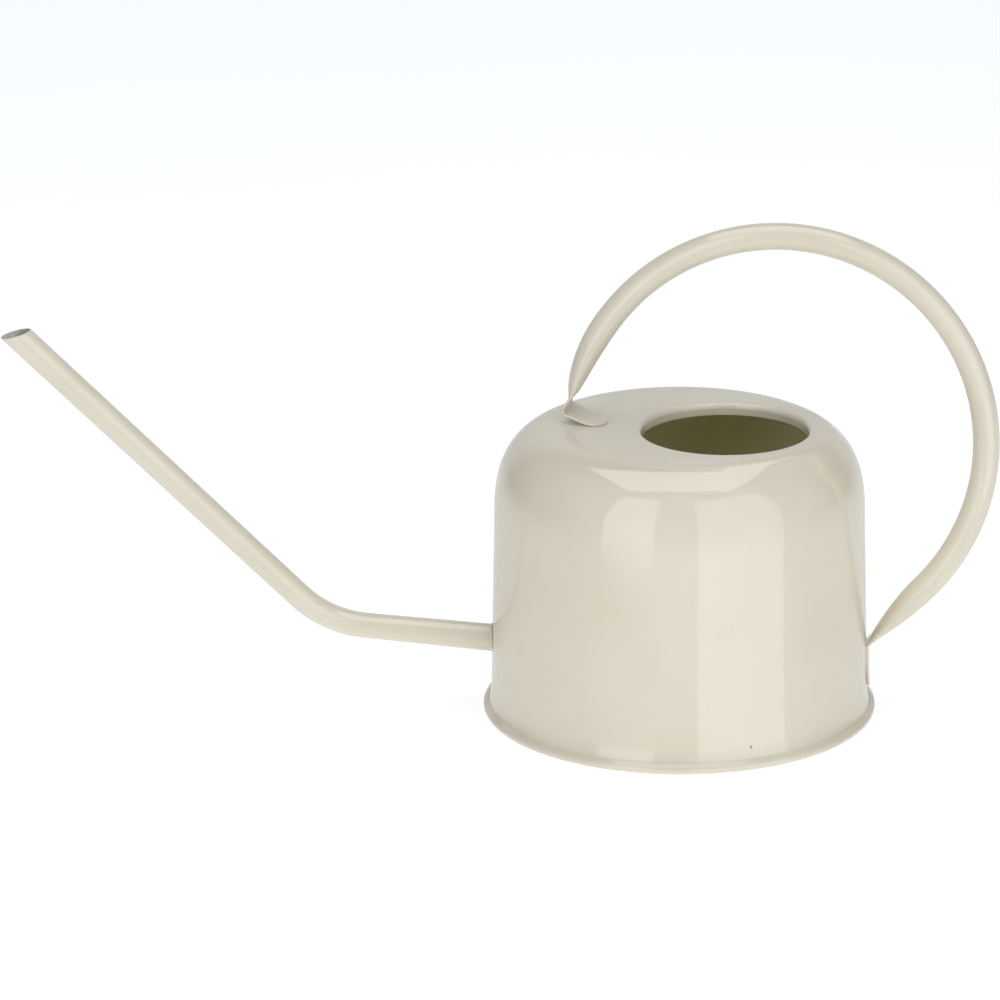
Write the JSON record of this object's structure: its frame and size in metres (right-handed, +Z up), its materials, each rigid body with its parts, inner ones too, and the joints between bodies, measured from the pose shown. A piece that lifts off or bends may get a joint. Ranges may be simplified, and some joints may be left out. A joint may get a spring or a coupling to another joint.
{
  "type": "watering can",
  "caption": "Small indoor watering can in coated sheet steel, with a bell-shaped body, off-centre filler, long thin bent spout and arched tube handle.",
  "frame": {"origin": "on the standing plane, at the middle of the whole can's footprint (the middle of its box in plan)", "axes": "+Z up; the spout points along -X and the handle arches over towards +X; -Y is the side that the filler leans to"},
  "size_m": [0.3426, 0.1368, 0.1736],
  "materials": {
    "cream_coat": "glossy cream powder coat with faint orange peel",
    "seam_compound": "matt sealing compound",
    "braze_alloy": "dull brazing alloy"
  },
  "bodies": {
    "root": {"body_shell": "cream_coat", "base_disc": "cream_coat", "base_seal": "seam_compound", "spout_tube": "cream_coat", "spout_braze": "braze_alloy", "handle_tube": "cream_coat"}
  },
  "joints": []
}
